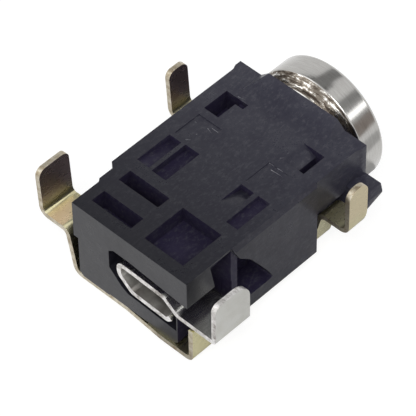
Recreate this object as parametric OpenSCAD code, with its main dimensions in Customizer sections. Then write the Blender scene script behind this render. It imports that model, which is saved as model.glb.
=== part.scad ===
// Barrel power socket for a mid-mounted circuit board, standing on its shell plate with the board side up.
// +Y points to the plug side, +Z to the side that reaches through the board.

/* [Housing] */
// Width of the moulded housing
body_w = 8.7; // [8.5:0.1:9]
// Length of the moulded housing from its rear face to its front face
body_l = 13.2; // [13:0.1:13.6]
// Height of the top face above the underside of the shell plate
body_top = 5.6; // [5.5:0.05:5.8]
// Rise of the front collar above the top face
collar_rise = 0.5; // [0.3:0.05:0.6]

/* [Plug] */
// Diameter of the socket's bore, for a 4.0 mm plug
bore_d = 4.2; // [4.1:0.05:4.3]
// Diameter of the centre pin, for a plug with a 1.7 mm hole
pin_d = 1.65; // [1.5:0.05:1.7]
// Height of the bore's axis above the underside of the shell plate
axis_z = 3; // [2.95:0.01:3.05]
// Depth of the plug cavity behind the housing's front face
cavity_depth = 7.4; // [7:0.1:7.8]

/* [Barrel] */
// Outside diameter of the barrel's ring
ring_d = 7.5; // [7.2:0.1:7.8]
// Distance that the barrel stands out in front of the housing
ring_out = 2.3; // [2.1:0.1:2.5]
// Length of the ring's cylindrical band
band_l = 1.6; // [1.4:0.05:1.7]
// Outside diameter of the tail that seats in the housing
tail_d = 5.2; // [5:0.05:5.25]
// Length of the tail in the housing
tail_l = 1.2; // [1:0.1:1.4]

/* [Sheet metal] */
// Thickness of the shell and contact sheet
sheet_t = 0.3; // [0.25:0.01:0.32]
// Height of the flanges' upper faces, on which the board sits
seat_z = 3.1; // [3.05:0.01:3.15]
// Distance of the shell legs' outer faces from the middle, at their feet
leg_x = 6.4; // [6.2:0.05:6.5]
// Height of the shell legs' tips
leg_top = 5.95; // [5.8:0.05:6.2]
// Distance of the contact leg's outer face from the middle
contact_x = 6.3; // [6.1:0.05:6.4]
// Height of the contact leg's tip
contact_top = 5.4; // [5.1:0.05:5.6]
// Outward lean of the two left legs, in degrees
leg_lean = 4; // [0:0.5:5]
// Width of the shell's rear leg
rear_leg_w = 2.15; // [1.8:0.05:2.3]
// Width of the shell's front legs
front_leg_w = 1.4; // [1.2:0.05:1.5]
// Width of the contact strip
contact_w = 2.5; // [2.4:0.05:2.6]
// Distance of the front legs behind the housing's front face
front_leg_back = 3.45; // [3.3:0.05:3.5]
// Distance that the shell's rear right corner stands out behind the housing
rear_out = 0.15; // [0:0.05:0.2]

/* [Hidden] */
$fn = 64;

half_w = body_w / 2;
overall_l = body_l + ring_out;
tip_shift = (leg_top - seat_z) * tan(leg_lean);
ring_r = ring_d / 2;
pin_r = pin_d / 2;
bore_r = bore_d / 2;
tail_r = tail_d / 2;
cavity_y = body_l - cavity_depth;
front_leg_y = body_l - front_leg_back;
plate_top = sheet_t;
// small overlap that keeps cutting faces apart
eps = 0.01;

housing_colour = "#3b3c42";
shell_colour = "#c9b98f";
nickel_colour = "#b9b9b9";
silver_colour = "#c4c6c4";
copper_colour = "#a8653f";

// Moves a sub-part from the housing's rear, axis and plate planes to the part's own frame.
module in_frame() {
    translate([tip_shift / 2, (rear_out - overall_l) / 2, ring_r - axis_z]) children();
}

// Extrudes an outline drawn in X and Z along +Y.
module along_y(y0, y1) {
    translate([0, y1, 0]) rotate([90, 0, 0]) linear_extrude(y1 - y0) children();
}

// Extrudes an outline drawn in Y and Z along +X.
module along_x(x0, x1) {
    translate([x0, 0, 0]) rotate([90, 0, 90]) linear_extrude(x1 - x0) children();
}

// Turns a profile of radius and Y about the bore's axis.
module turned() {
    translate([0, 0, axis_z]) rotate([-90, 0, 0]) rotate_extrude() children();
}

module block(x0, x1, y0, y1, z0, z1) {
    translate([x0, y0, z0]) cube([x1 - x0, y1 - y0, z1 - z0]);
}

module both_sides() {
    children();
    mirror([1, 0, 0]) children();
}

function unit(v) = v / norm(v);
function left_of(v) = [-v[1], v[0]];
function cross2(a, b) = a[0] * b[1] - a[1] * b[0];

// Points of the arc that rounds corner p between its neighbours a and b.
function rounded(a, p, b, r, n = 5) =
    let (u = unit(a - p), v = unit(b - p), half = acos(u * v) / 2)
    let (centre = p + unit(u + v) * r / sin(half), start = p + u * r / tan(half) - centre)
    let (turn = (180 - 2 * half) * sign(cross2(p - a, b - p)))
    [for (i = [0 : n]) let (w = turn * i / n)
        centre + [start[0] * cos(w) - start[1] * sin(w), start[0] * sin(w) + start[1] * cos(w)]];

// Middle line of a bent sheet: the path's inner corners are rounded to radius r, or to a radius for each.
function bent(path, r) = [
    path[0],
    for (i = [1 : len(path) - 2])
        each rounded(path[i - 1], path[i], path[i + 1], is_list(r) ? r[i - 1] : r),
    path[len(path) - 1]
];

// Direction square to the line at its point i.
function square_to(line, i) =
    let (last = len(line) - 1)
    let (before = unit(line[max(i, 1)] - line[max(i, 1) - 1]))
    let (after = unit(line[min(i, last - 1) + 1] - line[min(i, last - 1)]))
    let (middle = left_of(unit(before + after)))
    middle / (middle * left_of(before));

function beside(line, d) = [for (i = [0 : len(line) - 1]) line[i] + square_to(line, i) * d];

function backwards(list) = [for (i = [len(list) - 1 : -1 : 0]) list[i]];

// A sheet of thickness t whose middle line runs in X and Z, from y0 to y1.
module bent_sheet(path, r, t, y0, y1) {
    line = bent(path, r);
    along_y(y0, y1) polygon(concat(beside(line, t / 2), backwards(beside(line, -t / 2))));
}

// Takes the corners off the top of a leg between y0 and y1, with a radius at the rear and one at the front.
module round_tip(y0, y1, top, rear_r, front_r, x0, x1) {
    along_x(x0, x1) difference() {
        translate([y0 - eps, top - rear_r]) square([rear_r + eps, rear_r + 1]);
        translate([y0 + rear_r, top - rear_r]) circle(rear_r, $fn = 32);
    }
    along_x(x0, x1) difference() {
        translate([y1 - front_r, top - front_r]) square([front_r + eps, front_r + 1]);
        translate([y1 - front_r, top - front_r]) circle(front_r, $fn = 32);
    }
}

// Takes the lower front corner off a leg where its bend begins.
module round_toe(y1, low, r, x0, x1) {
    along_x(x0, x1) difference() {
        translate([y1 - r, low - 1]) square([r + eps, r + 1]);
        translate([y1 - r, low + r]) circle(r, $fn = 32);
    }
}

// Housing

rear_corner_w = 0.5;
boss_x = half_w + 0.1;
boss_y0 = 3.3;
boss_y1 = body_l - 3.7;
flank_x = half_w - 0.82;
ear_x = half_w + 1.3;
lip = 0.12;
ear_y0 = body_l - 1.4;
ear_top = 3.5;
// shallow relief in the housing's lower rear edge, over the plate
key_x0 = -1.4;
key_x1 = 1.4;
key_l = 1;
key_gap = 0.08;
collar_base = 2.98;
collar_flat = 2.42;
collar_l = 1.6;

// Outline of the housing seen from above, with the stepped rear left corner and a lip at the front.
module housing_outline() {
    polygon([
        [-half_w + rear_corner_w, 0], [-half_w + rear_corner_w, 1.95], [-half_w + 0.35, 2.15],
        [-half_w + 0.35, 3.1], [-half_w, 3.4], [-half_w, body_l - 0.7], [-half_w - lip, body_l - 0.4],
        [-half_w - lip, body_l], [half_w + lip, body_l], [half_w + lip, body_l - 0.4],
        [half_w, body_l - 0.7], [half_w, boss_y1], [boss_x, boss_y1], [boss_x, boss_y0],
        [half_w - 0.1, boss_y0], [half_w - 0.1, 0]
    ]);
}

module collar() {
    intersection() {
        along_y(body_l - collar_l, body_l) polygon([
            [-collar_base, body_top - eps], [-collar_flat, body_top + collar_rise],
            [collar_flat, body_top + collar_rise], [collar_base, body_top - eps]
        ]);
        along_x(-half_w, half_w) polygon([
            [body_l - collar_l, body_top - eps], [body_l, body_top + collar_rise], [body_l, body_top - eps]
        ]);
    }
}

// Locating ear beside the front edge: flat on top, with a sloped underside and a drafted outer face.
module ear() {
    intersection() {
        along_x(half_w - 0.5, ear_x) polygon([
            [ear_y0, ear_top], [body_l, ear_top], [body_l, ear_top - 0.6], [ear_y0, ear_top - 1.1]
        ]);
        along_y(ear_y0, body_l) polygon([
            [half_w - 0.5, 0], [ear_x, 0], [ear_x, ear_top - 0.45], [ear_x - 0.12, ear_top],
            [half_w - 0.5, ear_top]
        ]);
    }
}

// A recess in the top face, with its depth below that face.
module top_pocket(x0, x1, y0, y1, depth) {
    block(x0, x1, y0, y1, body_top - depth, body_top + 1);
}

// A recess whose floor slopes from one depth at its rear end to another at its front end.
module ramp_pocket(x0, x1, y0, y1, rear_depth, front_depth) {
    along_x(x0, x1) polygon([
        [y0, body_top - rear_depth], [y1, body_top - front_depth], [y1, body_top + 1], [y0, body_top + 1]
    ]);
}

// The cored-out pockets that keep the moulding's walls even.
module top_pockets() {
    // two slots and the square pocket at the rear
    top_pocket(-3.2, -0.4, 0.8, 1.7, 1.3);
    top_pocket(-3.2, -0.4, 2.75, 3.6, 1.9);
    top_pocket(0.55, 3.25, 0.8, 3.6, 0.95);
    // pairs of slots over the plug cavity
    ramp_pocket(-3.5, -2.65, 4.4, 6.8, 0.12, 0.45);
    top_pocket(-2.4, -1.4, 4.35, 6.85, 0.45);
    top_pocket(2.8, 3.6, 4.4, 6.8, 0.25);
    ramp_pocket(1.6, 2.5, 5.2, 6.8, 0, 0.42);
    // shallow sinks beside them
    top_pocket(-3.4, -1.75, 7.1, 8.9, 0.05);
    top_pocket(1.6, 2.95, 7.1, 8.9, 0.04);
    // stepped pocket beside the left front leg
    top_pocket(-3.5, -2.5, 9.4, 11.1, 1.3);
    top_pocket(-2.55, -1.95, 10.7, 11.1, 0.3);
    // pocket beside the right front leg, whose floor slopes down to a deep slot
    along_y(9.5, 11.1) polygon([
        [2, body_top], [2.85, body_top - 0.45], [2.85, body_top - 1.3], [3.45, body_top - 1.3],
        [3.45, body_top + 1], [2, body_top + 1]
    ]);
}

// Chamfer along the boss's top edge.
boss_chamfer_w = 0.2;
boss_chamfer_h = 0.25;
module boss_chamfer() {
    along_y(boss_y0 - eps, boss_y1 + eps) polygon([
        [boss_x + eps, body_top - boss_chamfer_h - eps], [boss_x + eps, body_top + eps],
        [boss_x - boss_chamfer_w - eps, body_top + eps]
    ]);
}

// Recess in the rear face for the contact's hairpin, open to the right where the contact leaves.
recess_depth = 2.7;
exit_x = 3.45;
exit_low = 2.45;
exit_high = 3.7;
module rear_recess() {
    along_y(-eps, recess_depth) polygon([
        [-1.3, 2.6], [-1.3, 3.85], [-0.95, 4.1], [0.1, 4.1], [half_w + 1, exit_high - 0.05],
        [half_w + 1, exit_low], [exit_x, exit_low], [exit_x, 1.35], [0, 1.5], [-0.45, 1.75]
    ]);
}

// Undercut slot in the right side, behind a thin skin of the top face, with a leaning rear end.
slot_high = body_top - 0.12;
module side_slot() {
    intersection() {
        along_x(half_w - 2.1, half_w + 1) polygon([
            [2.5, 1.2], [1.7, slot_high], [3.25, slot_high], [3.25, 1.2]
        ]);
        along_y(0, body_l) polygon([
            [half_w - 2.1, 1], [half_w + 1, 1], [half_w + 1, slot_high], [half_w - 0.75, slot_high],
            [half_w - 0.75, 4.3], [half_w - 2.1, 4.3]
        ]);
    }
}

// Window in front of the slot, whose front edge slopes down, and the set-back rib between the two.
module side_window() {
    along_x(half_w - 0.15, half_w + 1) polygon([
        [3.2, 1.2], [3.2, slot_high], [3.35, 5.3], [3.65, 4.7], [4, 4.3], [4, 1.2]
    ]);
    intersection() {
        along_x(half_w - 1.5, half_w + 1) polygon([
            [3.72, 1.2], [3.72, 4.62], [4.1, 4.3], [4.5, 3.9], [5.1, 3], [5.8, 1.9], [6.1, 1.3], [5.9, 1.2]
        ]);
        along_y(0, body_l) polygon([
            [half_w - 1.5, 1], [half_w + 1, 1], [half_w + 1, 5], [half_w - 0.35, 5], [half_w - 1.5, 3.4]
        ]);
    }
}

// Room beside the housing's lower half for the shell's rising walls and the bends at their feet.
module wall_bay(y0, y1) {
    along_y(y0, y1) polygon([
        [flank_x - 0.25, 0], [flank_x - 0.25, plate_top], [flank_x, plate_top + 0.2], [flank_x, seat_z],
        [half_w + 1, seat_z], [half_w + 1, 0]
    ]);
}

module plug_cavity() {
    turned() {
        translate([0, cavity_y]) square([bore_r + 0.02, cavity_depth + 1]);
        translate([0, body_l - tail_l]) square([tail_r, tail_l + 1]);
    }
}

pin_collar_r = 1.2;
pin_collar_l = 0.8;
pin_shank_r = 1;
pin_tail_r = 0.37;
pin_tail_l = 1.6;
module pin_hole() {
    turned() {
        translate([0, 1]) square([pin_shank_r, cavity_y]);
        translate([0, recess_depth - eps]) square([pin_collar_r, pin_collar_l + eps]);
    }
}

// Shape of the sleeve spring seen from above: a foot across the housing and a leaf beside the cavity.
leaf_t = 0.2;
foot_x0 = -2.9;
foot_x1 = -1.35;
foot_y = 2.9;
leaf_touch_x = -bore_r + 0.12;
leaf_path = [
    [foot_x1, foot_y + leaf_t / 2], [foot_x0, foot_y + leaf_t / 2], [foot_x0, cavity_y + 0.2],
    [leaf_touch_x + leaf_t / 2, cavity_y + 2.6], [foot_x0 + 0.1, cavity_y + 4.6]
];
leaf_low = axis_z - 0.7;
leaf_high = axis_z + 0.7;
slot_gap = 0.05;
module spring_slot() {
    low = leaf_low - slot_gap;
    high = leaf_high + slot_gap;
    block(foot_x0 - 0.25, foot_x1 + slot_gap, foot_y, foot_y + 0.35, plate_top - eps, leaf_high + 0.2);
    block(foot_x0 - 0.25, foot_x0 + 0.4, foot_y, cavity_y + 5, low, high);
    block(foot_x0, -bore_r + 0.5, cavity_y, cavity_y + 5, low, high);
}

module housing() {
    color(housing_colour) in_frame() {
        difference() {
            union() {
                translate([0, 0, plate_top]) linear_extrude(body_top - plate_top) housing_outline();
                collar();
                both_sides() ear();
            }
            top_pockets();
            boss_chamfer();
            block(key_x0, key_x1, -1, key_l, 0, plate_top + key_gap);
            rear_recess();
            side_slot();
            side_window();
            both_sides() wall_bay(boss_y1, ear_y0);
            wall_bay(-eps, boss_y0);
            mirror([1, 0, 0]) wall_bay(-eps, boss_y0);
            plug_cavity();
            pin_hole();
            spring_slot();
        }
    }
}

// Shell

bend_r = 0.45;
wall_foot_x = half_w - 0.5;
wall_head_x = half_w + 0.05;
plate_half_w = half_w - 0.3;
plate_y0 = 0.05;
// the plate's flat sides stop here beside the legs and walls
plate_edge_x = wall_foot_x - 1.2;
short_wall_x = half_w + 0.25;
short_wall_r = 0.35;
short_wall_top = 2.4;

// A wall on the right side that rises from the plate, flares to the seat flange and ends in a solder leg.
// The radii are those of the leg's rear tip, its front tip and its lower front corner.
module leg(y0, width, shift, foot_x, rear_r, front_r, toe_r) {
    mid_z = sheet_t / 2;
    blade_x = leg_x - sheet_t / 2;
    difference() {
        bent_sheet([
            [plate_edge_x, mid_z], [foot_x, mid_z], [wall_head_x, seat_z - mid_z],
            [blade_x, seat_z - mid_z], [blade_x + shift, leg_top]
        ], bend_r, sheet_t, y0, y0 + width);
        round_tip(y0, y0 + width, leg_top, rear_r, front_r, leg_x - 2, leg_x + 1);
        round_toe(y0 + width, seat_z - sheet_t, toe_r, leg_x - bend_r - mid_z, leg_x + 1);
    }
}

// Plain wall under the contact's leg: it stands off the housing and stops short of the contact.
module short_wall(y0, y1) {
    mid_z = sheet_t / 2;
    bent_sheet([
        [plate_edge_x, mid_z], [short_wall_x, mid_z], [short_wall_x, short_wall_top]
    ], short_wall_r, sheet_t, y0, y1);
}

module shell_plate() {
    linear_extrude(sheet_t) difference() {
        polygon([
            [-plate_half_w, plate_y0], [-0.2, plate_y0], [2.4, -rear_out], [plate_half_w, -rear_out],
            [plate_half_w, body_l - 0.05], [-plate_half_w, body_l - 0.05]
        ]);
        both_sides() {
            translate([plate_edge_x + eps, -1]) square([half_w, boss_y0 + 1]);
            translate([plate_edge_x + eps, boss_y1]) square([half_w, ear_y0 - 0.1 - boss_y1]);
        }
    }
}

module shell() {
    color(shell_colour) in_frame() {
        shell_plate();
        leg(front_leg_y, front_leg_w, 0, wall_foot_x - 0.15, 0.6, 0.65, 1);
        mirror([1, 0, 0]) {
            leg(front_leg_y - 0.12, front_leg_w, tip_shift, wall_foot_x, 0.45, 0.5, 0.4);
            leg(plate_y0, rear_leg_w, tip_shift, wall_foot_x, 0.5, 0.45, 0.4);
        }
        short_wall(-rear_out, boss_y0 - 0.3);
    }
}

// Barrel

neck_r = 3.2;
neck_l = 0.25;
mouth_r = 2.95;
mouth_l = 1.1;
// small step where the cone meets the band
shoulder = 0.06;
module barrel() {
    band_y = overall_l - band_l;
    edge_r = 0.25;
    color(nickel_colour) in_frame() turned() {
        difference() {
            union() {
                translate([0, body_l - tail_l]) square([tail_r, tail_l + eps]);
                polygon([
                    [0, body_l], [neck_r, body_l], [neck_r, body_l + neck_l],
                    [ring_r - shoulder, band_y - shoulder], [ring_r, band_y],
                    [ring_r, overall_l - edge_r], [ring_r - edge_r, overall_l], [0, overall_l]
                ]);
                translate([ring_r - edge_r, overall_l - edge_r]) circle(edge_r, $fn = 32);
            }
            translate([-1, 0]) square([bore_r + 1, overall_l + 1]);
            polygon([
                [0, overall_l - mouth_l], [bore_r, overall_l - mouth_l],
                [mouth_r, overall_l + eps], [0, overall_l + eps]
            ]);
        }
    }
}

// Centre pin

// the pin stays this far inside the ring's front face
pin_tip_back = 1.3;
module centre_pin() {
    tip_y = overall_l - pin_tip_back;
    tip_round = 0.35;
    color(nickel_colour) in_frame() turned() {
        translate([0, recess_depth]) square([pin_collar_r, pin_collar_l]);
        translate([0, recess_depth - pin_tail_l]) square([pin_tail_r, pin_tail_l + eps]);
        translate([0, recess_depth]) square([pin_shank_r, cavity_y - recess_depth]);
        translate([0, cavity_y - eps]) square([pin_r, tip_y - tip_round - cavity_y + eps]);
        intersection() {
            translate([0, tip_y - tip_round - eps]) square([pin_r, tip_round + eps]);
            union() {
                square([pin_r - tip_round, tip_y]);
                translate([pin_r - tip_round, tip_y - tip_round]) circle(tip_round, $fn = 32);
            }
        }
    }
}

// Pin contact

// A hairpin that grips the centre pin's tail, and an arm that leaves to the right and ends in a solder leg.
module pin_contact() {
    strip_t = sheet_t;
    upper_z = axis_z + pin_tail_r + strip_t / 2;
    bight_x = -pin_tail_r - strip_t / 2;
    arm_z = seat_z - 0.4;
    blade_x = contact_x - strip_t / 2;
    y0 = -0.07;
    y1 = y0 + contact_w;
    color(silver_colour) in_frame() difference() {
        bent_sheet([
            [3.1, 2.12], [2.86, 1.87], [0.35, 1.98], [bight_x, 2.75], [bight_x, upper_z], [0.4, upper_z],
            [2.65, upper_z - 0.1], [3.6, arm_z], [blade_x, arm_z], [blade_x, contact_top]
        ], [0.16, 0.6, 0.5, 0.34, 2, 0.5, 0.6, 0.16], strip_t, y0, y1);
        round_tip(y0, y1, contact_top, 0.4, 1, contact_x - 2, contact_x + 1);
        round_toe(y1, arm_z - strip_t / 2, 0.3, contact_x - 0.35, contact_x + 1);
    }
}

// Sleeve spring

// A spring that stands on the shell plate and presses its leaf on the plug's sleeve.
module sleeve_spring() {
    line = bent(leaf_path, 0.25);
    color(copper_colour) in_frame() {
        translate([0, 0, leaf_low]) linear_extrude(leaf_high - leaf_low) {
            polygon(concat(beside(line, leaf_t / 2), backwards(beside(line, -leaf_t / 2))));
        }
        block(foot_x0 + 0.4, foot_x1, foot_y, foot_y + leaf_t, plate_top, leaf_low + eps);
    }
}

housing();
shell();
barrel();
centre_pin();
pin_contact();
sleeve_spring();
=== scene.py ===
# %% [markdown]
# This lesson dresses a DC power jack, the small socket on a laptop's circuit board that takes the
# charger's round plug. It is seen from behind and above, with its solder legs up. A real one is a black
# moulding in a folded gold-coloured shell, with a turned nickel ring at the plug end and one silvery
# contact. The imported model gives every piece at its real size.

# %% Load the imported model
import math

import bmesh
import bpy
from mathutils import Matrix, Vector
from mathutils.bvhtree import BVHTree


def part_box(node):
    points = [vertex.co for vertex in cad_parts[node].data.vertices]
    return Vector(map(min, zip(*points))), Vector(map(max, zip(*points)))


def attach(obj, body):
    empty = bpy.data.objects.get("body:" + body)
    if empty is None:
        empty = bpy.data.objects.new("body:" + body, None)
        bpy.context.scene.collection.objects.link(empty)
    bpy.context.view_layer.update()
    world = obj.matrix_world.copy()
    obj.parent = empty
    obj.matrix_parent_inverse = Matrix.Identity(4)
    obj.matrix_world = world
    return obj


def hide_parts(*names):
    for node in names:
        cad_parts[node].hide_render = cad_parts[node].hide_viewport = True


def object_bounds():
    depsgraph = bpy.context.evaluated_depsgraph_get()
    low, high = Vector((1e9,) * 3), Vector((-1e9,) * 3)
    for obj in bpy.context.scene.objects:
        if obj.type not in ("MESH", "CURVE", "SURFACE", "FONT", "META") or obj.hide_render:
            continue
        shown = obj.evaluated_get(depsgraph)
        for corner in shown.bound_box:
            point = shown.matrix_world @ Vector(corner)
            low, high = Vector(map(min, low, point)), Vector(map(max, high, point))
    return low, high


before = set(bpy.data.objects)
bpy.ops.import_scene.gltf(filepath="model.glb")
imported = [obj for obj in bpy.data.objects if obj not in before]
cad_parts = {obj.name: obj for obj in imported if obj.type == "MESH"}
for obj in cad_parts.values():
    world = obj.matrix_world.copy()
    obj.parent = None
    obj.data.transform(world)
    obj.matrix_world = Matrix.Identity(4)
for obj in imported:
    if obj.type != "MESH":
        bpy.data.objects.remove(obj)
cad_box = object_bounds()
MM = 0.001
print("pieces:", sorted(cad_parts))

# %% [markdown]
# A small part is photographed with a long lens from far away, so its parallel edges stay nearly parallel.
# The camera's place is given as an azimuth, an elevation and a small roll about a target on the part. Its
# matrix is built from three directions and not from angles, because then no order of turns matters.

# %% Camera
TARGET = Vector((0.1, -1.075, 3.35)) * MM
AZIMUTH = math.radians(44.337)
ELEVATION = math.radians(48.159)
ROLL = math.radians(-0.964)
DISTANCE = 163.9 * MM
SLIDE = Vector((-0.437, 0.085)) * MM
SENSOR = 36
FOCAL = 272.8
CLIP_START = 1 * MM
CLIP_END = 10


def add_object(name, data):
    made = bpy.data.objects.new(name, data)
    bpy.context.scene.collection.objects.link(made)
    return made


def add_camera():
    back = Vector((
        math.sin(AZIMUTH) * math.cos(ELEVATION),
        -math.cos(AZIMUTH) * math.cos(ELEVATION),
        math.sin(ELEVATION),
    ))
    right = Vector((math.cos(AZIMUTH), math.sin(AZIMUTH), 0))
    up = back.cross(right)
    eye = TARGET + back * DISTANCE + right * SLIDE.x + up * SLIDE.y
    right_rolled = right * math.cos(ROLL) + up * math.sin(ROLL)
    up_rolled = up * math.cos(ROLL) - right * math.sin(ROLL)
    data = bpy.data.cameras.new("camera")
    data.sensor_width = SENSOR
    data.lens = FOCAL
    data.clip_start = CLIP_START
    data.clip_end = CLIP_END
    camera = add_object("camera", data)
    turn = Matrix((right_rolled, up_rolled, back)).transposed().to_4x4()
    camera.matrix_world = Matrix.Translation(eye) @ turn
    bpy.context.scene.camera = camera


add_camera()
bpy.context.scene.view_settings.view_transform = "Standard"
print("camera stands", round(DISTANCE / MM), "mm from its target")

# %% [markdown]
# Colours are written as sRGB hex values, as a colour picker gives them, while shaders want linear light.
# One function turns the first into the second, by the curve of the sRGB standard. Another adds a node with
# its settings and its links, so that a material reads as a short list of what feeds what. A link may name
# a whole node, which means its first output. A colour ramp's stops are given as pairs of a place and a hex
# colour or a grey level. A Mix node has an A and a B for each kind of value, all with the same names, so
# the colour ones are asked for by number.

# %% Colour and node helpers
MIX_FACTOR, MIX_A, MIX_B, MIX_RESULT = 0, 6, 7, 2


def linear(code):
    def channel(value):
        return value / 12.92 if value <= 0.04045 else ((value + 0.055) / 1.055) ** 2.4
    return (*[channel(int(code[i:i + 2], 16) / 255) for i in (1, 3, 5)], 1)


def node(tree, kind, settings=None, links=None):
    made = tree.nodes.new("ShaderNode" + kind)
    for name, value in (settings or {}).items():
        if name == "stops":
            elements = made.color_ramp.elements
            while len(elements) < len(value):
                elements.new(0.5)
            for element, (place, level) in zip(elements, value):
                element.position = place
                element.color = linear(level) if isinstance(level, str) else (level, level, level, 1)
        elif isinstance(name, int) or name in made.inputs:
            made.inputs[name].default_value = value
        else:
            setattr(made, name, value)
    for name, source in (links or {}).items():
        tree.links.new(source.outputs[0] if isinstance(source, bpy.types.Node) else source, made.inputs[name])
    return made


print("the picker's middle grey, #808080, is", round(linear("#808080")[0], 3), "in linear light")

# %% [markdown]
# Every material here starts the same way: an empty node tree, and the place on the piece. Object
# coordinates come in metres. A Mapping node turns them into millimetres, so that a Scale of 5 on a texture
# means five waves to the millimetre, and it can stretch the pattern for rolled or turned metal. Places
# that a material names, such as a height, are therefore in mm too. The shader comes last, when all that
# feeds it is there.

# %% Start and end of a material


def new_material(name):
    material = bpy.data.materials.new(name)
    material.use_nodes = True
    material.node_tree.nodes.clear()
    return material, material.node_tree


def millimetres(tree, stretch=(1, 1, 1)):
    place = node(tree, "TexCoord")
    return node(tree, "Mapping", {"Scale": [s / MM for s in stretch]}, {"Vector": place.outputs["Object"]})


def surface(tree, settings, links):
    shader = node(tree, "BsdfPrincipled", settings, links)
    node(tree, "OutputMaterial", links={"Surface": shader})


print("textures multiply metres by", round(1 / MM))

# %% [markdown]
# The housing is moulded in a black nylon with glass fibre. It is dark right through, so most of what the
# eye gets from it is the sheen of its skin, which is smooth enough to mirror the wall of a pocket in its
# floor. The pockets were formed by eroded core pins, so they are duller inside, and the sides slid along the
# steel as the part left the mould, so they are a little duller too. The colour is painted darker towards
# the rear and paler towards the front: painted light, for the sheen that falls off towards the rear. The
# melt leaves slow clouds, handling leaves a few pale rubs, and the tool leaves a fine even grain. The grain
# is about 0.07 mm here, coarser than the real one, because a finer one would not show.
# A painted image could hold all this. Noise textures do, because they go round every edge without a seam.

# %% Moulded black nylon
HOUSING_REAR, HOUSING_FRONT = -7.7, 5.5
RUB_COLOUR = "#48484e"


def moulded_nylon(name, dark, pale_tone, painted_light_at_rear, shine, smoothest):
    material, tree = new_material(name)
    mm = millimetres(tree)
    along = millimetres(tree, (1.3, 0.7, 1.3))
    clouds = node(tree, "TexNoise", {"Scale": 0.6, "Detail": 4, "Roughness": 0.65}, {"Vector": mm})
    grain = node(tree, "TexNoise", {"Scale": 14, "Detail": 2, "Roughness": 0.6}, {"Vector": mm})
    rubs = node(tree, "TexNoise", {"Scale": 3.4, "Detail": 6, "Roughness": 0.8}, {"Vector": along})
    place = node(tree, "SeparateXYZ", {}, {"Vector": mm})
    # Painted light: the colour is multiplied darker at the rear and paler at the front, for the sheen that
    # falls off towards the rear.
    reach = {
        "From Min": HOUSING_REAR, "From Max": HOUSING_FRONT, "To Min": painted_light_at_rear, "To Max": 2 - painted_light_at_rear}
    painted_light_toward_front = node(tree, "MapRange", reach, {"Value": place.outputs["Y"]})
    body = node(tree, "ValToRGB", {"stops": [(0.3, dark), (0.7, pale_tone)]}, {"Fac": clouds})
    pale = node(tree, "ValToRGB", {"stops": [(0.5, 0), (0.72, 0.7)]}, {"Fac": rubs})
    rubbed = node(tree, "Mix", {"data_type": "RGBA", MIX_B: linear(RUB_COLOUR)}, {
        MIX_FACTOR: pale, MIX_A: body})
    colour = node(tree, "Mix", {"data_type": "RGBA", "blend_type": "MULTIPLY", MIX_FACTOR: 1}, {
        MIX_A: rubbed.outputs[MIX_RESULT], MIX_B: painted_light_toward_front})
    both = node(tree, "Mix", {"data_type": "RGBA", MIX_FACTOR: 0.4}, {MIX_A: clouds, MIX_B: grain})
    stops = [(0.35, smoothest + 0.12), (0.65, smoothest)]
    rough = node(tree, "ValToRGB", {"stops": stops}, {"Fac": both.outputs[MIX_RESULT]})
    soft = node(tree, "Bump", {"Strength": 0.3, "Distance": 0.06 * MM}, {"Height": clouds})
    fine = node(tree, "Bump", {"Strength": 0.35, "Distance": 0.006 * MM}, {"Height": grain, "Normal": soft})
    surface(tree, {"IOR": 1.5, "Specular IOR Level": shine}, {
        "Base Color": colour.outputs[MIX_RESULT], "Roughness": rough, "Normal": fine})
    return material


NYLON = moulded_nylon(
    "moulded_black_nylon", "#1f1e2a", "#2d2d36", painted_light_at_rear=0.45, shine=0.36, smoothest=0.26)
POCKET_NYLON = moulded_nylon(
    "moulded_black_nylon_of_the_pockets", "#221e30", "#2a263a", painted_light_at_rear=1, shine=0.1, smoothest=0.3)
SIDE_NYLON = moulded_nylon(
    "moulded_black_nylon_of_the_sides", "#1f1e2a", "#2d2d36", painted_light_at_rear=0.45, shine=0.25, smoothest=0.26)
print("each nylon takes", len(NYLON.node_tree.nodes), "nodes")

# %% [markdown]
# The shell is brass strip with a thin pale gold flash. The strip was rolled, so its skin is smooth with a
# soft grain along one way, and its reflections are clear but a little blurred. Light that bounces twice in
# a fold turns a deeper yellow, because each bounce takes the metal's tint once more. Folding and handling
# leave slow dents and faint duller patches. The inner faces of the left legs get a browner tint, stronger
# towards their tips: a painted reflection of the dark housing that these faces mirror. It could be a layer
# over the flash, but a tint of the metal keeps it a metal, so the same finish is made once more with a
# browner tip colour.

# %% Gold-flashed brass strip
SEAT_HEIGHT, PAINTED_REFLECTION_FULL_HEIGHT = 3.9, 4.9


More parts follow.
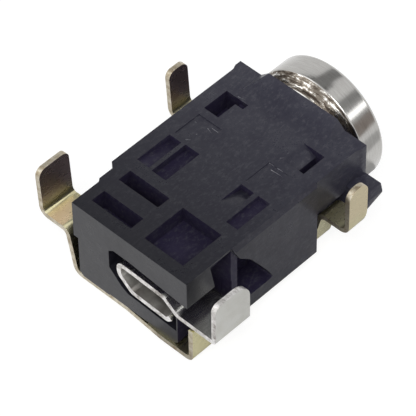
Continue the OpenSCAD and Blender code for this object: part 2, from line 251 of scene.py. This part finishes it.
def flashed_brass(name, tip):
    material, tree = new_material(name)
    mm = millimetres(tree)
    rolled = millimetres(tree, (1, 0.25, 1))
    clouds = node(tree, "TexNoise", {"Scale": 0.9, "Detail": 3}, {"Vector": mm})
    grain = node(tree, "TexNoise", {"Scale": 10, "Detail": 3, "Roughness": 0.6}, {"Vector": rolled})
    flash = node(tree, "ValToRGB", {"stops": [(0.3, "#cfc79d"), (0.7, "#dcd6b2")]}, {"Fac": clouds})
    place = node(tree, "SeparateXYZ", {}, {"Vector": mm})
    # On the left legs' inner faces this ramp paints a reflection of the dark housing, full from the upper
    # height up.
    height = {"From Min": SEAT_HEIGHT, "From Max": PAINTED_REFLECTION_FULL_HEIGHT}
    toward_tip = node(tree, "MapRange", height, {"Value": place.outputs["Z"]})
    colour = node(tree, "Mix", {"data_type": "RGBA", MIX_B: linear(tip)}, {
        MIX_FACTOR: toward_tip, MIX_A: flash})
    rough = node(tree, "ValToRGB", {"stops": [(0.3, 0.27), (0.7, 0.285)]}, {"Fac": grain})
    dents = node(tree, "Bump", {"Strength": 0.15, "Distance": 0.05 * MM}, {"Height": clouds})
    fine = node(tree, "Bump", {"Strength": 0.04, "Distance": 0.001 * MM}, {"Height": grain, "Normal": dents})
    surface(tree, {"Metallic": 1}, {
        "Base Color": colour.outputs[MIX_RESULT], "Roughness": rough, "Normal": fine})
    return material


BRASS = flashed_brass("gold_flashed_brass", "#d9ccab")
BRASS_WITH_PAINTED_REFLECTION = flashed_brass("gold_flashed_brass_with_a_painted_reflection", "#c9b3b3")
# The tint whose height is printed here is a painted reflection of the dark housing.
print("the stain is full from", PAINTED_REFLECTION_FULL_HEIGHT, "mm up")

# %% [markdown]
# A stamped edge is not plated like the faces. The punch first burnishes it and then tears it, which leaves
# a pale, duller line with faint brown marks across the sheet. It outlines each leg, as a cut edge does on any
# stamping. The tears could be cut into the mesh, but they are finer than a pixel, so a bump is enough. The
# same finish serves the shell and the contact, in the tint of each metal.

# %% Sheared edges


def sheared_edge(name, dark, middle, pale):
    material, tree = new_material(name)
    across = millimetres(tree, (0.5, 1, 0.5))
    mm = millimetres(tree)
    tears = node(tree, "TexNoise", {"Scale": 6, "Detail": 3, "Roughness": 0.7}, {"Vector": across})
    stains = node(tree, "TexNoise", {"Scale": 1.3, "Detail": 4, "Roughness": 0.7}, {"Vector": mm})
    both = node(tree, "Mix", {"data_type": "RGBA", MIX_FACTOR: 0.5}, {MIX_A: tears, MIX_B: stains})
    stops = [(0.38, dark), (0.46, middle), (0.58, pale)]
    colour = node(tree, "ValToRGB", {"stops": stops}, {"Fac": both.outputs[MIX_RESULT]})
    rough = node(tree, "ValToRGB", {"stops": [(0.3, 0.5), (0.7, 0.34)]}, {"Fac": tears})
    torn = node(tree, "Bump", {"Strength": 0.3, "Distance": 0.01 * MM}, {"Height": tears})
    surface(tree, {"Metallic": 1}, {"Base Color": colour, "Roughness": rough, "Normal": torn})
    return material


BRASS_EDGE = sheared_edge("sheared_brass_edge", "#968872", "#a99f8b", "#c2bbab")
SILVER_EDGE = sheared_edge("sheared_bronze_edge", "#847e79", "#bbb8b5", "#e2e0df")
print("edges:", BRASS_EDGE.name, SILVER_EDGE.name)

# %% [markdown]
# The contact is bronze strip with a silver plate: nearly neutral, brighter than nickel and satin. It
# tarnishes a little in the hollows, which shows as slow warm clouds. Inside the hairpin the same silver is
# duller and rougher, and its colour is painted darker and patchy there: painted shade in the fold. One
# function makes both, so that they differ only in colour and in how smooth they are.

# %% Silver-plated strip


def silver_strip(name, tarnish_and_painted_shade, clean, smoothest):
    material, tree = new_material(name)
    mm = millimetres(tree)
    rolled = millimetres(tree, (1, 0.25, 1))
    clouds = node(tree, "TexNoise", {"Scale": 1.1, "Detail": 3}, {"Vector": mm})
    grain = node(tree, "TexNoise", {"Scale": 9, "Detail": 3}, {"Vector": rolled})
    colour = node(tree, "ValToRGB", {"stops": [(0.35, tarnish_and_painted_shade), (0.65, clean)]}, {"Fac": clouds})
    rough = node(tree, "ValToRGB", {"stops": [(0.3, smoothest), (0.7, smoothest + 0.07)]}, {"Fac": grain})
    fine = node(tree, "Bump", {"Strength": 0.1, "Distance": 0.001 * MM}, {"Height": grain})
    surface(tree, {"Metallic": 1}, {"Base Color": colour, "Roughness": rough, "Normal": fine})
    return material


SILVER = silver_strip("silver_plated_bronze", "#d2d1cb", "#dcdcd8", smoothest=0.2)
# Painted shade: inside the hairpin the silver's colour is painted darker and patchy.
DULL_SILVER_WITH_PAINTED_SHADE = silver_strip("dull_silver_with_painted_shade_inside_the_hairpin", "#8b8782", "#c2c0bb", smoothest=0.5)
print("silver:", SILVER.name, DULL_SILVER_WITH_PAINTED_SHADE.name)

# %% [markdown]
# The sleeve spring inside is bare copper alloy. Only a glint of it shows through a slot, so a warm metal
# with a little stain is enough.

# %% Bare copper alloy


def copper_strip():
    material, tree = new_material("bare_copper_alloy")
    stain = node(tree, "TexNoise", {"Scale": 2.5, "Detail": 3}, {"Vector": millimetres(tree)})
    colour = node(tree, "ValToRGB", {"stops": [(0.3, "#9c5c3c"), (0.7, "#c98a66")]}, {"Fac": stain})
    rough = node(tree, "ValToRGB", {"stops": [(0.3, 0.42), (0.7, 0.28)]}, {"Fac": stain})
    surface(tree, {"Metallic": 1}, {"Base Color": colour, "Roughness": rough})
    return material


COPPER = copper_strip()
print("copper:", COPPER.name)

# %% [markdown]
# The ring is turned from brass rod and nickel plated. Its band was finished with a fine cut and mirrors
# the studio in clear stripes. The cone behind it was left as the form tool cut it: ridged in circles and
# chattered. Its colour paints near-white flecks, which are painted glints, and a dark brown, which is partly
# brass showing through a thin plate and partly a painted reflection of the dark housing that it faces.
# Turning marks are circles about the axis, which here runs along Y. Rings could be cut into the mesh. A noise
# that changes fast along Y and slowly round it draws them with less, and breaks them up as a real cut does.

# %% Nickel on turned brass


def fine_turned(name):
    material, tree = new_material(name)
    rings = millimetres(tree, (0.12, 1, 0.12))
    marks = node(tree, "TexNoise", {"Scale": 11, "Detail": 3, "Roughness": 0.6}, {"Vector": rings})
    colour = node(tree, "ValToRGB", {"stops": [(0.35, "#adaba8"), (0.65, "#b7b6b3")]}, {"Fac": marks})
    rough = node(tree, "ValToRGB", {"stops": [(0.3, 0.14), (0.7, 0.22)]}, {"Fac": marks})
    fine = node(tree, "Bump", {"Strength": 0.08, "Distance": 0.004 * MM}, {"Height": marks})
    surface(tree, {"Metallic": 1}, {"Base Color": colour, "Roughness": rough, "Normal": fine})
    return material


def rough_turned():
    material, tree = new_material("nickel_on_rough_turned_brass_with_painted_glints")
    rings = millimetres(tree, (0.3, 3, 0.3))
    short = millimetres(tree, (0.8, 2, 0.8))
    marks = node(tree, "TexNoise", {"Scale": 3, "Detail": 4, "Roughness": 0.65}, {"Vector": rings})
    chatter = node(tree, "TexNoise", {"Scale": 2.2, "Detail": 4, "Roughness": 0.7}, {"Vector": short})
    both = node(tree, "Mix", {"data_type": "RGBA", MIX_FACTOR: 0.5}, {MIX_A: marks, MIX_B: chatter})
    # Painted glints and reflection: the near-white stop paints the lamps' glints, and the dark brown partly
    # paints the dark housing mirrored in the cone.
    stops = [(0.43, "#463e37"), (0.53, "#857d73"), (0.6, "#f1efea")]
    colour = node(tree, "ValToRGB", {"stops": stops}, {"Fac": both.outputs[MIX_RESULT]})
    rough = node(tree, "ValToRGB", {"stops": [(0.4, 0.4), (0.6, 0.16)]}, {"Fac": both.outputs[MIX_RESULT]})
    chips = node(tree, "Bump", {"Strength": 0.5, "Distance": 0.06 * MM}, {"Height": chatter})
    ridges = node(tree, "Bump", {"Strength": 0.5, "Distance": 0.03 * MM}, {"Height": marks, "Normal": chips})
    surface(tree, {"Metallic": 1}, {"Base Color": colour, "Roughness": rough, "Normal": ridges})
    return material


RING_NICKEL = fine_turned("nickel_on_turned_brass")
CONE_NICKEL_WITH_PAINTED_GLINTS = rough_turned()
PIN_NICKEL = fine_turned("nickel_pin")
print("materials, with the packed ones:", len(bpy.data.materials))

# %% [markdown]
# One moulding has more than one finish. Its faces could be picked by hand, but a rule by place and
# direction still holds when the model changes a little. The level floors and the walls under the top face
# belong to the pockets, and so do the faces set back behind the right side. What is left and looks
# sideways slid along the mould. The rule gives each face the number of a finish in the piece's list.

# %% A finish for each face of the moulding
TOP_FACE = 6.3 * MM
POCKET_LOW = 4.4 * MM
POCKET_REACH = 3.75 * MM
REAR_WALL = 0.5 * MM
RAMP_STEEPEST, RAMP_FLATTEST = 0.3, 0.98
SIDE_FACE = 4.32 * MM
SIDE_POCKET_FLOOR = 2.3 * MM
SIDE_POCKET_REAR, SIDE_POCKET_FRONT = -6 * MM, -1.5 * MM
SIDEWAYS = 0.9
PIN_LOW, PIN_HIGH = (Vector(corner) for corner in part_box("centre_pin"))
PIN_AXIS = (PIN_LOW + PIN_HIGH) / 2


def housing_finish(centre, normal):
    inside = POCKET_LOW < centre.z < TOP_FACE and abs(centre.x - PIN_AXIS.x) < POCKET_REACH
    in_pocket = inside and centre.y > cad_box[0][1] + REAR_WALL
    ramp = RAMP_STEEPEST < normal.z < RAMP_FLATTEST
    beside = SIDE_POCKET_FLOOR < centre.x < SIDE_FACE and centre.z < TOP_FACE
    set_back = beside and SIDE_POCKET_REAR < centre.y < SIDE_POCKET_FRONT
    if in_pocket and not ramp or set_back:
        return 1
    return 2 if abs(normal.x) > SIDEWAYS else 0


print("pockets lie from", round(POCKET_LOW / MM, 2), "to", round(TOP_FACE / MM, 2), "mm up")

# %% [markdown]
# Sheet metal shows the way it was made in the same manner. The faces square to Y are where the punch cut,
# and so are the rounded tips of the legs. The left legs' inner faces look along +X and carry the painted
# reflection. The contact's faces that look at the middle of its hairpin are inside it and carry the painted
# shade. The spring has one finish.

# %% A finish for each face of the sheet metal
CUT_ALONG_Y = 0.3
TIP_LOW = 5.5 * MM
TIP_UPWARD = 0.2
HAIRPIN_RIGHT = 3.2 * MM
HAIRPIN_MIDDLE = PIN_AXIS + Vector((1, 0, 0)) * MM


def is_punched(centre, normal):
    return abs(normal.y) > CUT_ALONG_Y or (centre.z > TIP_LOW and normal.z > TIP_UPWARD)


def shell_finish(centre, normal):
    if is_punched(centre, normal):
        return 1
    # Painted reflection: the left legs' inner faces get the dark housing's reflection painted into their
    # colour.
    gets_painted_reflection = centre.x < 0 and centre.z > SEAT_HEIGHT * MM and normal.x > SIDEWAYS
    return 2 if gets_painted_reflection else 0


def contact_finish(centre, normal):
    if is_punched(centre, normal):
        return 1
    faces_middle = (HAIRPIN_MIDDLE - centre).xz.dot(normal.xz) > 0
    return 2 if faces_middle and centre.x < HAIRPIN_RIGHT else 0


FINISHES = {
    "housing": ([NYLON, POCKET_NYLON, SIDE_NYLON], housing_finish),
    "shell": ([BRASS, BRASS_EDGE, BRASS_WITH_PAINTED_REFLECTION], shell_finish),
    "pin_contact": ([SILVER, SILVER_EDGE, DULL_SILVER_WITH_PAINTED_SHADE], contact_finish),
    "sleeve_spring": ([COPPER], lambda centre, normal: 0),
}
print("finishes:", {name: len(materials) for name, (materials, _) in FINISHES.items()})

# %% [markdown]
# No real edge is a knife edge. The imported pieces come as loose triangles, so each gets a copy that is
# merged into one closed skin, with its flat parts joined into single faces. A Bevel modifier then rounds
# every sharp edge by a few hundredths of a millimetre, which is what catches a line of light. The rounds
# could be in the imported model, but it would be much heavier for a detail that only the eye needs.

# %% Rounded copies of the moulding and the sheet metal
EDGE_ROUND = {"housing": 0.05, "shell": 0.035, "pin_contact": 0.035, "sleeve_spring": 0.02}
EDGE_STEPS = 2
MERGE_DISTANCE = 0.0005 * MM
FLAT_TURN = math.radians(0.5)
SHARP_TURN = math.radians(30)


def rounded_copy(name, materials, finish_of):
    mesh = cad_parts[name].data.copy()
    mesh.materials.clear()
    for material in materials:
        mesh.materials.append(material)
    piece = add_object(name + "_finished", mesh)
    shape = bmesh.new()
    shape.from_mesh(mesh)
    bmesh.ops.remove_doubles(shape, verts=shape.verts, dist=MERGE_DISTANCE)
    bmesh.ops.dissolve_limit(shape, angle_limit=FLAT_TURN, verts=shape.verts, edges=shape.edges)
    for face in shape.faces:
        face.smooth = True
        face.material_index = finish_of(face.calc_center_median(), face.normal)
    shape.to_mesh(mesh)
    shape.free()
    edge_round = piece.modifiers.new("edge_round", "BEVEL")
    edge_round.width = EDGE_ROUND[name] * MM
    edge_round.segments = EDGE_STEPS
    edge_round.limit_method = "ANGLE"
    edge_round.angle_limit = SHARP_TURN
    piece.modifiers.new("flat_normals", "WEIGHTED_NORMAL")
    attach(piece, "root")
    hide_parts(name)
    return piece


for name, (materials, finish_of) in FINISHES.items():
    piece = rounded_copy(name, materials, finish_of)
    print(piece.name, "has", len(piece.data.polygons), "faces before the round")

# %% [markdown]
# The ring and the pin are turned on a lathe, and Spin is the lathe of mesh modelling: an outline of radius
# and place along the axis goes once round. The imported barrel's box gives the axis and the front face. The
# outline's corners are rounded first, while each is still one vertex, because that is simpler than
# rounding rings of faces. A Weighted Normal modifier then keeps the long faces between the small rounds
# looking truly cylindrical. Each corner is a radius, a place behind the front face and a round, in mm.

# %% Turned pieces
RING_LOW, RING_HIGH = (Vector(corner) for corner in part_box("barrel"))
AXIS_X = (RING_LOW.x + RING_HIGH.x) / 2
AXIS_Z = (RING_LOW.z + RING_HIGH.z) / 2
FRONT_Y = RING_HIGH.y
STEPS = 256
SMALL_ROUND = 0.1
SMALL_ROUND_STEPS, LARGE_ROUND_STEPS = 2, 6


def add_mesh(name, shape, materials):
    mesh = bpy.data.meshes.new(name)
    shape.to_mesh(mesh)
    shape.free()
    for material in materials:
        mesh.materials.append(material)
    return add_object(name, mesh)


def turned(name, outline, closed, materials, finish_at):
    shape = bmesh.new()
    corners = [shape.verts.new((AXIS_X + r * MM, FRONT_Y - back * MM, AXIS_Z)) for r, back, _ in outline]
    for one, other in zip(corners, corners[1:]):
        shape.edges.new((one, other))
    if closed:
        shape.edges.new((corners[-1], corners[0]))
    for corner, (_, _, radius) in zip(corners, outline):
        if radius:
            steps = LARGE_ROUND_STEPS if radius > SMALL_ROUND else SMALL_ROUND_STEPS
            bmesh.ops.bevel(
                shape, geom=[corner], offset=radius * MM, segments=steps,
                affect="VERTICES", profile=0.5, material=-1)
    bmesh.ops.spin(
        shape, geom=shape.verts[:] + shape.edges[:], cent=(AXIS_X, 0, AXIS_Z), axis=(0, 1, 0),
        dvec=(0, 0, 0), angle=math.tau, steps=STEPS, use_merge=True, use_duplicate=False)
    bmesh.ops.remove_doubles(shape, verts=shape.verts, dist=MERGE_DISTANCE)
    bmesh.ops.recalc_face_normals(shape, faces=shape.faces)
    for face in shape.faces:
        face.smooth = True
        face.material_index = finish_at(face.calc_center_median())
    piece = add_mesh(name, shape, materials)
    piece.modifiers.new("flat_normals", "WEIGHTED_NORMAL")
    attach(piece, "root")
    return piece


print("the ring's axis is", round(AXIS_Z / MM, 2), "mm up")

# %% [markdown]
# The ring's outline starts at the tail in the housing and goes round by the neck, the cone, the band, the
# front and the mouth that guides the plug in. A tube and a cone could be joined instead, but one closed
# outline gives one skin with no seam. Everything behind the band keeps the rough-turned finish.

# %% Front ring
BAND_BACK = 1.64
OUTSIDE_RADIUS = 3 * MM
RING_OUTLINE = [
    (2.6, 3.5, 0.03), (2.6, 2.3, 0), (3.2, 2.3, 0), (3.2, 2.05, 0.03), (3.69, 1.66, 0.02), (3.75, 1.6, 0.03),
    (3.75, 0, 0.25), (2.95, 0, 0.06), (2.1, 1.1, 0.05), (2.1, 3.5, 0.03),
]


def ring_finish(centre):
    outside = (centre.xz - Vector((AXIS_X, AXIS_Z))).length > OUTSIDE_RADIUS
    return int(outside and centre.y < FRONT_Y - BAND_BACK * MM)


ring = turned("barrel_finished", RING_OUTLINE, True, [RING_NICKEL, CONE_NICKEL_WITH_PAINTED_GLINTS], ring_finish)
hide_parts("barrel")
print("ring has", len(ring.data.polygons), "faces")

# %% [markdown]
# The centre pin goes into the plug's hole and carries the current. Its outline runs from the contact's
# hairpin to the rounded free end, which stops inside the ring. It starts and ends on the axis, so it is
# left open: the lathe closes it.

# %% Centre pin
PIN_OUTLINE = [
    (0, 14.4, 0), (0.37, 14.4, 0.05), (0.37, 12.8, 0), (1.2, 12.8, 0.05), (1.2, 12, 0.05), (1, 12, 0),
    (1, 9.7, 0.05), (0.825, 9.7, 0), (0.825, 1.3, 0.35), (0, 1.3, 0),
]
pin = turned("centre_pin_finished", PIN_OUTLINE, False, [PIN_NICKEL], lambda centre: 0)
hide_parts("centre_pin")
print("pin has", len(pin.data.polygons), "faces")

# %% [markdown]
# Where a core pin's edge has worn, the melt creeps past it and leaves flash: thin slivers along the rims
# on the top face, coloured pale as a painted glint of the light that these rims catch. Each is given by
# where it starts and ends. Its height could be typed in too, but it comes from the moulding itself: a ray
# goes down from above at each end, so that a sliver lies on what carries it and never in the air. It is sunk
# a little, as flash grows out of the skin.

# %% Where the flash lies
FLASH_RADIUS = 0.025 * MM
FLASH_SUNK = 0.4 * FLASH_RADIUS
FLASH_LINES = [
    ((-3.1, 0.71), (-2.96, 0.73)), ((-2.3, 0.83), (-1.81, 0.67)), ((-2.11, 0.97), (-1.65, 0.95)),
    ((-2.45, 0.11), (-2.37, 0.12)), ((-2.55, -0.58), (-2.36, -0.36)), ((1.72, 1.2), (2.17, 1.22)),
    ((2.29, 1.22), (2.99, 1.24)), ((2.1, 0.91), (3.04, 0.97)), ((1.99, 2.3), (2, 2.4)),
    ((1.92, 1.8), (2.07, 2)), ((-2.67, 3.52), (-2.07, 3.64)), ((-2.2, 3.1), (-2.1, 3.16)),
]
UP = Vector((0, 0, 1))
HIGH_ABOVE = 20


def flash_ends():
    skin = bmesh.new()
    skin.from_mesh(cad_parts["housing"].data)
    search = BVHTree.FromBMesh(skin)
    ends = []
    for line in FLASH_LINES:
        hits = [search.ray_cast(Vector((x, y, HIGH_ABOVE)) * MM, -UP)[0] for x, y in line]
        ends.append([hit - UP * FLASH_SUNK for hit in hits])
    skin.free()
    return ends


ends = flash_ends()
heights = {round((end.z + FLASH_SUNK) / MM, 2) for line in ends for end in line}
print("flash has", len(ends), "slivers, on faces at", sorted(heights), "mm")

# %% [markdown]
# A sliver is a tapered rod, thinner than a hair. Five sides are enough for something that never covers
# more than a pixel or two across. One piece holds them all, because none is a part of its own.

# %% Slivers of flash
FLASH_TIP_RADIUS = 0.3 * FLASH_RADIUS
FLASH_SIDES = 5


def nylon_flash_with_painted_glints():
    material, tree = new_material("nylon_flash_with_painted_glints")
    patches = node(tree, "TexNoise", {"Scale": 5, "Detail": 3}, {"Vector": millimetres(tree)})
    # Painted glint: the slivers' pale colour stands in for the light that the rims catch.
    colour = node(tree, "ValToRGB", {"stops": [(0.35, "#3c3c44"), (0.65, "#8c8c92")]}, {"Fac": patches})
    surface(tree, {"Roughness": 0.35, "IOR": 1.5}, {"Base Color": colour})
    return material


def facing_turn(direction):
    return direction.to_track_quat("Z", "Y").to_matrix().to_4x4()


slivers = bmesh.new()
for start, end in ends:
    bmesh.ops.create_cone(
        slivers, cap_ends=True, cap_tris=True, segments=FLASH_SIDES, radius1=FLASH_RADIUS,
        radius2=FLASH_TIP_RADIUS, depth=(end - start).length,
        matrix=Matrix.Translation((start + end) / 2) @ facing_turn(end - start))
flash = add_mesh("housing_flash", slivers, [nylon_flash_with_painted_glints()])
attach(flash, "root")
print("flash has", len(flash.data.polygons), "faces")

# %% [markdown]
# The background of a catalogue picture is white paper that sweeps under the part. A lamp strong enough to
# burn the paper out would burn the metal too, so the camera is shown white by Light Path instead: camera,
# glossy and transmission rays find a sky of strength 1 and paper that glows, and all others find a softer
# sky and plain paper. The camera still sees a quarter of the paper's own light, and with it the part's
# shadow.

# %% Sky and floor
SKY = 0.32
SKY_SEEN = 1
PAPER_GLOW = 0.85
FLOOR_REACH = 1


def seen_directly(tree):
    path = node(tree, "LightPath")
    some = node(tree, "Math", {"operation": "ADD"}, {
        0: path.outputs["Is Camera Ray"], 1: path.outputs["Is Glossy Ray"]})
    return node(tree, "Math", {"operation": "ADD", "use_clamp": True}, {
        0: some, 1: path.outputs["Is Transmission Ray"]})


def add_sky():
    world = bpy.data.worlds.new("studio")
    bpy.context.scene.world = world
    world.use_nodes = True
    tree = world.node_tree
    tree.nodes.clear()
    soft = node(tree, "Background", {"Color": linear("#ffffff"), "Strength": SKY})
    white = node(tree, "Background", {"Color": linear("#ffffff"), "Strength": SKY_SEEN})
    seen = node(tree, "MixShader", {}, {0: seen_directly(tree), 1: soft, 2: white})
    node(tree, "OutputWorld", links={"Surface": seen})


def white_paper():
    material, tree = new_material("white_paper")
    paper = node(tree, "BsdfDiffuse", {"Color": linear("#f2f2f2")})
    shadow = node(tree, "BsdfDiffuse", {"Color": linear("#8a8a8a")})
    glow = node(tree, "Emission", {"Color": linear("#ffffff"), "Strength": PAPER_GLOW})
    lit = node(tree, "AddShader", {}, {0: shadow, 1: glow})
    seen = node(tree, "MixShader", {}, {0: seen_directly(tree), 1: paper, 2: lit})
    node(tree, "OutputMaterial", links={"Surface": seen})
    return material


add_sky()
flat = bmesh.new()
bmesh.ops.create_grid(flat, x_segments=1, y_segments=1, size=FLOOR_REACH)
floor = add_mesh("floor", flat, [white_paper()])
print("sky strength", SKY, "and floor", 2 * FLOOR_REACH, "m wide")

# %% [markdown]
# Two softboxes on the camera's left light the rear face and put the bright flecks on the cone, and a wide
# one on the right fills the legs' outer faces. A fill light stands behind the camera and a little above it:
# from there it reaches all that the camera sees, down to the floors of the deep slots. Lamps are hidden
# from the camera, because in the side views they would stand in the picture. Each is given by the light
# that a spot of it sends out, so that a larger one lights more but looks the same in a reflection.

# %% Softboxes
PART = (0, 0, 0)


def softbox(name, place, aim, width, height, radiance):
    data = bpy.data.lights.new(name, "AREA")
    data.shape = "RECTANGLE"
    data.size = width
    data.size_y = height
    data.energy = radiance * math.pi * width * height
    lamp = add_object(name, data)
    place = Vector(place)
    lamp.matrix_world = Matrix.Translation(place) @ facing_turn(place - Vector(aim))
    lamp.visible_camera = False
    print(name, "gives", round(data.energy * 1000, 1), "mW")
    return lamp


softbox("left_softbox", (-0.15, -0.18, 0.12), PART, width=0.09, height=0.2, radiance=1.4)
softbox("low_softbox", (0.005, -0.24, 0.06), PART, width=0.08, height=0.08, radiance=1.4)
softbox("right_softbox", (0.2, 0.1, 0.2), PART, width=0.16, height=0.16, radiance=1.5)
softbox("fill_softbox", (0.1, -0.125, 0.21), PART, width=0.12, height=0.12, radiance=8)

# %% [markdown]
# A mirror-like part in an all-white room looks like flat grey paint. A photographer stands grey cards
# round it, and what they take out of the reflections tells the eye the shapes. Darker metal would lose its
# sparkle, and painted stripes would not move with the view. Cards are near the part and only glossy rays
# find them, so nothing else gets darker. Three of them lie or hang where the flat
# faces mirror them: one high behind the part, for the top face, and two on the floor along the right side,
# for the legs and the boss. The narrow one under the part's edge is darker, as the paper is there in its
# shadow. A fourth lies ahead on the right, where the side of the ring mirrors it.

# %% Cards for the flat faces
ALONG = Vector((0, 1, 0))


def paper_card(name, centre, facing, width, length, code):
    material, tree = new_material(name + "_paper")
    surface(tree, {"Base Color": linear(code), "Roughness": 0.9, "Specular IOR Level": 0}, {})
    turn = Matrix((ALONG.cross(facing), ALONG, facing)).transposed().to_4x4()
    shape = bmesh.new()
    bmesh.ops.create_grid(shape, x_segments=1, y_segments=1, size=0.5)
    bmesh.ops.scale(shape, vec=(width, length, 1), verts=shape.verts)
    bmesh.ops.transform(shape, matrix=Matrix.Translation(centre) @ turn, verts=shape.verts)
    card = add_mesh(name, shape, [material])
    card.visible_camera = False
    card.visible_diffuse = False
    card.visible_shadow = False
    print(name, "measures", round(width / MM), "by", round(length / MM), "mm")


FLAT_CARDS = [
    ("card_high", (-34, 24, 60), -UP, 70, 20, "#808080"),
    ("card_low", (30.5, -3, 0.05), UP, 50, 24, "#e6e6e6"),
    ("card_near", (3.5, 0, 0.05), UP, 4, 18, "#d2d2d2"),
    ("card_ahead", (18.5, 15, 0.05), UP, 17, 12, "#e3e3e3"),
]
for name, centre, facing, width, length, code in FLAT_CARDS:
    paper_card(name, Vector(centre) * MM, facing, width * MM, length * MM, code)

# %% [markdown]
# The ring's stripes run along the axis because its cards do. Each is given by the angle about the ring's
# axis at which the ring sees it, from straight up towards the right, and a narrow strip lamp between two
# cards gives the one bright stripe. The lamp is linked to the ring alone, as if a flag kept it off the rest.

# %% Cards and strip lamp for the ring
CARD_DISTANCE = 30 * MM
FAR_CARD_DISTANCE = 33 * MM
CARD_AHEAD = 17 * MM
CARD_LENGTH = 26 * MM
CARD_MIDDLE = Vector((AXIS_X, FRONT_Y + CARD_AHEAD, AXIS_Z))
STRIP_ANGLE = 52.5
STRIP_WIDTH = 5 * MM


def toward(angle):
    turn = math.radians(angle)
    return Vector((math.sin(turn), 0, math.cos(turn)))


def ring_card(name, angle, spread, code, distance=CARD_DISTANCE):
    width = 2 * distance * math.tan(math.radians(spread / 2))
    out = toward(angle)
    paper_card(name, CARD_MIDDLE + out * distance, -out, width, CARD_LENGTH, code)


ring_card("card_left", -15, 22, "#b5b5b5")
ring_card("card_middle", 32, 14, "#bfbfbf")
ring_card("card_right", 76, 22, "#c9bcb4")
ring_card("card_behind_strip", 52, 32, "#dddddd", FAR_CARD_DISTANCE)
strip_place = CARD_MIDDLE + toward(STRIP_ANGLE) * CARD_DISTANCE
strip_lamp = softbox("strip_lamp", strip_place, CARD_MIDDLE, CARD_LENGTH, STRIP_WIDTH, radiance=2.6)
lit_by_strip = bpy.data.collections.new("lit_by_strip")
lit_by_strip.objects.link(ring)
strip_lamp.light_linking.receiver_collection = lit_by_strip
